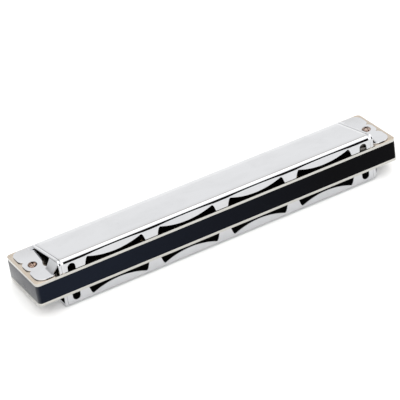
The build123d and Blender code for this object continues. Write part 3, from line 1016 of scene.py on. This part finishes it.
def reed_tree():
    """A reed's tongue, thinned towards its middle, with a solder weight at the tip of a low reed."""
    tree, start, keys = new_tree(
        "Reed tongue", ("Width", "NodeSocketFloat"), ("Length", "NodeSocketFloat"),
        ("Thickness", "NodeSocketFloat"), ("Thinning", "NodeSocketFloat"),
        ("Weight length", "NodeSocketFloat"), ("Weight height", "NodeSocketFloat"),
        ("Finish", "NodeSocketMaterial"))
    out = start.outputs
    bar = place_node(tree, "GeometryNodeMeshCube", 2, 0, {
        "Size": vector_of(tree, 1, 0, out["Width"], out["Length"], out["Thickness"]),
        "Vertices X": 2, "Vertices Y": 25, "Vertices Z": 2})
    lift = vector_of(tree, 2, 1, 0.0, times(tree, 1, 1, out["Length"], 0.5),
                     times(tree, 1, 2, out["Thickness"], 0.5))
    bar = moved(tree, 3, 0, bar.outputs["Mesh"], translation=lift)
    place = place_node(tree, "GeometryNodeInputPosition", 3, 3)
    apart = place_node(tree, "ShaderNodeSeparateXYZ", 4, 3, {0: place.outputs["Position"]})
    along = place_node(tree, "ShaderNodeMath", 5, 3, {0: apart.outputs["Y"], 1: out["Length"]},
                       operation="DIVIDE")
    profile = place_node(tree, "ShaderNodeFloatCurve", 6, 3, {"Value": along.outputs[0]})
    curve = profile.mapping.curves[0]
    curve.points[0].location = (0.0, 1.0)
    curve.points[1].location = (1.0, 0.85)
    for spot in ((0.08, 1.0), (0.22, 0.15), (0.55, 0.0), (0.82, 0.35)):
        curve.points.new(*spot)
    profile.mapping.update()
    share = place_node(tree, "ShaderNodeMapRange", 7, 3, {
        "Value": profile.outputs["Value"], "To Min": out["Thinning"], "To Max": 1.0})
    height = place_node(tree, "ShaderNodeMath", 8, 3, {0: apart.outputs["Z"], 1: share.outputs["Result"]},
                        operation="MULTIPLY")
    shaped = place_node(tree, "GeometryNodeSetPosition", 9, 0, {
        "Geometry": bar,
        "Position": vector_of(tree, 8, 1, apart.outputs["X"], apart.outputs["Y"], height.outputs[0])})
    weight = place_node(tree, "GeometryNodeMeshCube", 6, 5, {
        "Size": vector_of(tree, 5, 5, out["Width"], out["Weight length"], out["Weight height"]),
        "Vertices X": 3, "Vertices Y": 5, "Vertices Z": 3})
    tip = place_node(tree, "ShaderNodeMath", 6, 6, {
        0: times(tree, 5, 6, out["Weight length"], -0.5), 1: out["Length"]}, operation="ADD")
    rise = place_node(tree, "ShaderNodeMath", 6, 7, {
        0: times(tree, 5, 7, out["Weight height"], 0.5), 1: times(tree, 5, 8, out["Thickness"], 0.85)},
        operation="ADD")
    weight = moved(tree, 8, 5, weight.outputs["Mesh"],
                   translation=vector_of(tree, 7, 6, 0.0, tip.outputs[0], rise.outputs[0]))
    present = place_node(tree, "FunctionNodeCompare", 8, 7, {
        0: out["Weight height"], 1: 0.0}, data_type="FLOAT", operation="GREATER_THAN")
    chosen = place_node(tree, "GeometryNodeSwitch", 9, 5, {
        "Switch": present.outputs["Result"], "True": weight}, input_type="GEOMETRY")
    joined = place_node(tree, "GeometryNodeJoinGeometry", 10, 0)
    for part in (chosen.outputs["Output"], shaped.outputs["Geometry"]):
        tree.links.new(part, joined.inputs["Geometry"])
    return end_tree(tree, start, joined.outputs["Geometry"], 11, smooth_faces=False), keys


def grown(tree_and_keys, points, facings, values, finish):
    """Runs a tree on a cloud of points and returns the plain mesh that comes out."""
    tree, keys = tree_and_keys
    cloud = bpy.data.meshes.new("points")
    cloud.from_pydata([tuple(p) for p in points], [], [])
    facing = cloud.attributes.new("facing", "FLOAT_VECTOR", "POINT")
    facing.data.foreach_set("vector", np.array(facings, np.float32).ravel())
    seed = bpy.data.objects.new("points", cloud)
    bpy.context.scene.collection.objects.link(seed)
    modifier = seed.modifiers.new("grow", "NODES")
    modifier.node_group = tree
    for label, value in values.items():
        modifier[keys[label]] = value
    modifier[keys["Finish"]] = finish
    mesh = plain_mesh(seed)
    bpy.data.meshes.remove(cloud)
    return mesh


class HARMONICA_OT_screws(bpy.types.Operator):
    """Builds the four cover screws with their cross recesses"""
    bl_idname = "harmonica.screws"
    bl_label = "Cover screws"

    def execute(self, context):
        sizes, cover = context.scene.harmonica_small_parts, context.scene.harmonica_cover
        finish = get_finish("screw_brass_red")
        points, facings = [], []
        for low, high in islands("cover_screws"):
            side = 1 if high[2] > 0 else -1
            middle = (low + high) / 2
            points.append((middle[0], middle[1], side * (PLATE_FACE + cover.sheet)))
            facings.append((0, 0, side))
        reach = PLATE_FACE + cover.sheet - min(abs(low[2]), abs(high[2]))
        mesh = grown(screw_tree(), points, facings, {
            "Head radius": sizes.screw_head, "Head rise": sizes.screw_rise,
            "Cross length": sizes.cross_length, "Cross width": sizes.cross_width,
            "Cross depth": sizes.cross_depth, "Shank radius": 0.001, "Shank length": reach}, finish)
        piece = new_piece("cover_screw_set", smooth(mesh, 35), finish)
        settle(piece, BODY, "screw_brass", "cover_screws")
        return {"FINISHED"}


class HARMONICA_OT_rivets(bpy.types.Operator):
    """Builds the rivets of all 48 reeds"""
    bl_idname = "harmonica.rivets"
    bl_label = "Reed rivets"

    def execute(self, context):
        sizes = context.scene.harmonica_small_parts
        finish = get_finish("rivet_brass_dull")
        tree = headed_pin_tree("Headed pin", 14, 8)
        for side, name in (("upper", "top_rivet_set"), ("lower", "bottom_rivet_set")):
            pads = islands(side + "_reed_pads")
            points, facings = [], []
            for low, high in pads:
                middle = (low + high) / 2
                outward = 1 if abs(middle[2]) > PLATE_FACE else -1
                outward *= 1 if middle[2] > 0 else -1
                points.append((middle[0], middle[1], high[2] if outward > 0 else low[2]))
                facings.append((0, 0, outward))
            reach = (pads[0][1] - pads[0][0])[2] + PLATE_HIGH[2] - PLATE_LOW[2]
            mesh = grown(tree, points, facings, {
                "Head radius": sizes.rivet_head, "Head rise": sizes.rivet_rise,
                "Shank radius": sizes.shank, "Shank length": float(reach),
                "Tail radius": sizes.rivet_tail, "Tail rise": sizes.rivet_rise * 0.6}, finish)
            piece = new_piece(name, smooth(mesh, 60), finish)
            settle(piece, BODY, "rivet_brass", side + "_reed_rivets")
        return {"FINISHED"}


class HARMONICA_OT_nails(bpy.types.Operator):
    """Builds the nails that hold both reed plates to the comb"""
    bl_idname = "harmonica.nails"
    bl_label = "Plate nails"

    def execute(self, context):
        sizes = context.scene.harmonica_small_parts
        finish = get_finish("rivet_brass_dull")
        points, facings = [], []
        for low, high in islands("plate_nails"):
            side = 1 if high[2] > 0 else -1
            middle = (low + high) / 2
            points.append((middle[0], middle[1], side * PLATE_FACE))
            facings.append((0, 0, side))
        reach = PLATE_FACE - min(abs(low[2]), abs(high[2]))
        mesh = grown(headed_pin_tree("Nail", 16, 8), points, facings, {
            "Head radius": sizes.nail_head, "Head rise": sizes.nail_rise,
            "Shank radius": sizes.shank * 0.9, "Shank length": float(reach),
            "Tail radius": sizes.shank * 0.9, "Tail rise": sizes.nail_rise}, finish)
        piece = new_piece("plate_nail_set", smooth(mesh, 60), finish)
        settle(piece, BODY, "rivet_brass", "plate_nails")
        return {"FINISHED"}


class HARMONICA_OT_reed_pads(bpy.types.Operator):
    """Builds the riveted pads at the roots of the reeds"""
    bl_idname = "harmonica.reed_pads"
    bl_label = "Reed pads"

    def execute(self, context):
        sizes = context.scene.harmonica_small_parts
        finish = get_finish("filed_reed_brass")
        tree = pad_tree()
        for side, name in (("upper", "top_pad_set"), ("lower", "bottom_pad_set")):
            points, facings = [], []
            for low, high in islands(side + "_reed_pads"):
                middle = (low + high) / 2
                points.append((middle[0], middle[1], low[2]))
                facings.append((0, 0, 1))
            size = high - low
            mesh = grown(tree, points, facings, {
                "Width": float(size[0]), "Length": float(size[1]), "Thickness": float(size[2]),
                "Corner": sizes.pad_round}, finish)
            piece = new_piece(name, smooth(mesh), finish)
            settle(piece, BODY, "reed_brass", side + "_reed_pads")
        return {"FINISHED"}


class HARMONICA_OT_reeds(bpy.types.Operator):
    """Builds the 48 reed tongues, each riding on its own body"""
    bl_idname = "harmonica.reeds"
    bl_label = "Reed tongues"

    def execute(self, context):
        sizes = context.scene.harmonica_small_parts
        finish = get_finish("filed_reed_brass")
        tree = reed_tree()
        thin = 0.00025
        for name, members in frame["record"]["behaviour"]["bodies"].items():
            if name == BODY:
                continue
            node = members[0]
            low, high = own_box(node)
            size, middle = high - low, (low + high) / 2
            side = 1 if middle[2] > 0 else -1
            inside = abs(middle[2]) < PLATE_FACE - 0.0006
            outward = -side if inside else side
            root_y = low[1] if inside else high[1]
            weighted = size[2] > 1.5 * thin
            mesh = grown(tree, [(0, 0, 0)], [(0, 0, 1)], {
                "Width": float(size[0]), "Length": float(size[1]), "Thickness": thin,
                "Thinning": sizes.reed_thin, "Weight length": 0.003,
                "Weight height": float(size[2] - thin) if weighted else 0.0}, finish)
            root = Vector((middle[0], root_y, low[2] if outward > 0 else high[2]))
            turn = Matrix.Diagonal((1, 1 if inside else -1, outward, 1))
            mesh.transform(Matrix.Translation(root) @ turn)
            if turn.determinant() < 0:
                mesh.flip_normals()
            piece = new_piece(node + "_brass", smooth(mesh), finish)
            settle(piece, name, "reed_brass", node)
        return {"FINISHED"}


# ---------------------------------------------------------------- stage

class HARMONICA_OT_stage(bpy.types.Operator):
    """Lays the pale floor, sets the studio light and places the camera"""
    bl_idname = "harmonica.stage"
    bl_label = "Stage"

    def execute(self, context):
        studio = context.scene.harmonica_studio
        self.lay_floor(studio)
        self.set_light(context.scene, studio)
        self.place_camera(context.scene, studio)
        context.scene.view_settings.view_transform = "Standard"
        context.scene.view_settings.look = "None"
        return {"FINISHED"}

    def lay_floor(self, studio):
        reach = studio.floor_size
        mesh = bpy.data.meshes.new("floor")
        mesh.from_pydata([(-reach, -reach, 0), (reach, -reach, 0), (reach, reach, 0), (-reach, reach, 0)],
                         [], [(0, 1, 2, 3)])
        mesh.materials.append(get_finish("pale_floor"))
        floor = bpy.data.objects.new("floor", mesh)
        bpy.context.scene.collection.objects.link(floor)

    def set_light(self, scene, studio):
        """Surroundings from front to back, and a soft key light.

        Angles turn about +X, from the horizon in front, 0, over the top to the horizon behind, 180:
        a dark gap, the overhead light, its fade, a thin beige line and the far wall.
        """
        world = bpy.data.worlds.new("studio")
        scene.world = world
        world.use_nodes = True
        tree = world.node_tree
        tree.nodes.clear()
        look = place_node(tree, "ShaderNodeTexCoord", 0, 0)
        apart = place_node(tree, "ShaderNodeSeparateXYZ", 1, 0, {0: look.outputs["Generated"]})
        front = place_node(tree, "ShaderNodeMath", 2, 1, {
            0: apart.outputs["Y"], 1: -1.0}, operation="MULTIPLY")
        above = place_node(tree, "ShaderNodeMath", 2, 0, {
            0: apart.outputs["Z"], 1: 0.0}, operation="MAXIMUM")
        turn = place_node(tree, "ShaderNodeMath", 3, 0, {0: above.outputs[0], 1: front.outputs[0]},
                          operation="ARCTAN2")
        share = place_node(tree, "ShaderNodeMath", 4, 0, {
            0: turn.outputs[0], 1: 1 / math.pi}, operation="MULTIPLY")

        def at(degrees):
            return degrees / 180

        def grey(value):
            return (value, value, value)

        box, far, line = studio.box, studio.far, tuple(studio.line)
        half = 0.5
        gap_end, box_start, box_end, fade_end, line_near = 60, 64, 105, 140, 157.8
        line_start, line_end, far_start = 158.4, 161.0, 161.6
        faded, at_line = 1.45, 1.38
        glow = ramp(
            tree, 5, 0, share.outputs[0],
            (at(0), grey(half * studio.gap)), (at(gap_end), grey(half * studio.gap)),
            (at(box_start), grey(half * box)), (at(box_end), grey(half * box)),
            (at(fade_end), grey(half * faded)), (at(line_near), grey(half * at_line)),
            (at(line_start), tuple(half * c for c in line)), (at(line_end), tuple(half * c for c in line)),
            (at(far_start), grey(half * far)), (at(180), grey(half * far)))
        left = spread(tree, 4, 3, apart.outputs["X"], 1.0, 0.0, 0.05, 0.17)
        right = spread(tree, 4, 4, apart.outputs["X"], 0.0, 1.0, 0.55, 0.70)
        beside = place_node(tree, "ShaderNodeMath", 5, 3, {0: left, 1: right}, operation="MAXIMUM")
        low_front = spread(tree, 4, 5, share.outputs[0], 1.0, 0.0, at(gap_end - 2), at(box_start + 4))
        fill = place_node(tree, "ShaderNodeMath", 6, 3, {0: beside.outputs[0], 1: low_front},
                          operation="MULTIPLY")
        glow = blend_colours(tree, 6, 0, fill.outputs[0], glow, grey(half * studio.fill))
        far_left = spread(tree, 4, 6, apart.outputs["X"], 1.0, 0.0, -0.35, -0.10)
        low = spread(tree, 4, 7, apart.outputs["Z"], 1.0, 0.0, 0.45, 0.65)
        behind = spread(tree, 4, 8, apart.outputs["Y"], 0.0, 1.0, 0.0, 0.2)
        corner = place_node(tree, "ShaderNodeMath", 5, 6, {0: far_left, 1: low}, operation="MULTIPLY")
        corner = place_node(tree, "ShaderNodeMath", 6, 6, {0: corner.outputs[0], 1: behind},
                            operation="MULTIPLY")
        glow = blend_colours(tree, 7, 0, corner.outputs[0], glow, grey(half * studio.corner))
        path = place_node(tree, "ShaderNodeLightPath", 5, 2)
        seen = blend_colours(tree, 8, 0, path.outputs["Is Camera Ray"], glow, grey(0.6))
        backdrop = place_node(tree, "ShaderNodeBackground", 9, 0, {"Color": seen, "Strength": 1 / half})
        output = place_node(tree, "ShaderNodeOutputWorld", 10, 0)
        tree.links.new(backdrop.outputs["Background"], output.inputs["Surface"])

        key = bpy.data.lights.new("key_light", "SUN")
        key.energy = studio.key
        key.angle = studio.key_spread
        lamp = bpy.data.objects.new("key_light", key)
        up, turn_to = studio.key_height, studio.key_turn
        source = Vector((math.cos(up) * math.cos(turn_to), math.cos(up) * math.sin(turn_to), math.sin(up)))
        lamp.rotation_mode = "QUATERNION"
        lamp.rotation_quaternion = (-source).to_track_quat("-Z", "Y")
        scene.collection.objects.link(lamp)

    def place_camera(self, scene, studio):
        data = bpy.data.cameras.new("camera")
        data.sensor_width = 36.0
        data.lens = studio.lens
        data.clip_start, data.clip_end = 0.01, 50
        data.shift_x, data.shift_y = -studio.slide, studio.slide
        camera = bpy.data.objects.new("camera", data)
        aim = MIDDLE + Vector(studio.aim)
        a, e = studio.azimuth, studio.elevation
        back = Vector((math.sin(a) * math.cos(e), -math.cos(a) * math.cos(e), math.sin(e)))
        camera.location = aim + back * studio.distance
        turn = (-back).to_track_quat("-Z", "Y").to_matrix().to_4x4() @ Matrix.Rotation(studio.roll, 4, "Z")
        camera.rotation_mode = "QUATERNION"
        camera.rotation_quaternion = turn.to_quaternion()
        scene.collection.objects.link(camera)
        scene.camera = camera


# ---------------------------------------------------------------- sidebar, registering and main

STEPS = ("covers", "comb", "plates", "screws", "rivets", "nails", "reed_pads", "reeds", "stage")


class HARMONICA_PT_sidebar(bpy.types.Panel):
    """Lists the settings and the steps that build the harmonica"""
    bl_label = "Harmonica"
    bl_idname = "HARMONICA_PT_sidebar"
    bl_space_type = "VIEW_3D"
    bl_region_type = "UI"
    bl_category = "Harmonica"

    def draw(self, context):
        for step in STEPS:
            self.layout.operator("harmonica." + step)
        for group in ("cover", "tab", "small_parts", "finishes", "studio"):
            values = getattr(context.scene, "harmonica_" + group)
            box = self.layout.box()
            for key in values.bl_rna.properties.keys():
                if key not in ("rna_type", "name"):
                    box.prop(values, key)


GROUPS = {
    "harmonica_cover": CoverSizes,
    "harmonica_tab": TabSizes,
    "harmonica_small_parts": SmallPartSizes,
    "harmonica_finishes": Finishes,
    "harmonica_studio": StudioSettings,
}
CLASSES = (
    *GROUPS.values(), HARMONICA_OT_covers, HARMONICA_OT_comb, HARMONICA_OT_plates, HARMONICA_OT_screws,
    HARMONICA_OT_rivets, HARMONICA_OT_nails, HARMONICA_OT_reed_pads, HARMONICA_OT_reeds,
    HARMONICA_OT_stage, HARMONICA_PT_sidebar,
)


def register():
    for cls in CLASSES:
        bpy.utils.register_class(cls)
    for name, group in GROUPS.items():
        setattr(bpy.types.Scene, name, PointerProperty(type=group))


def unregister():
    for name in GROUPS:
        delattr(bpy.types.Scene, name)
    for cls in reversed(CLASSES):
        bpy.utils.unregister_class(cls)


def main():
    register()
    for step in STEPS:
        getattr(bpy.ops.harmonica, step)()


if __name__ == "__main__":
    main()
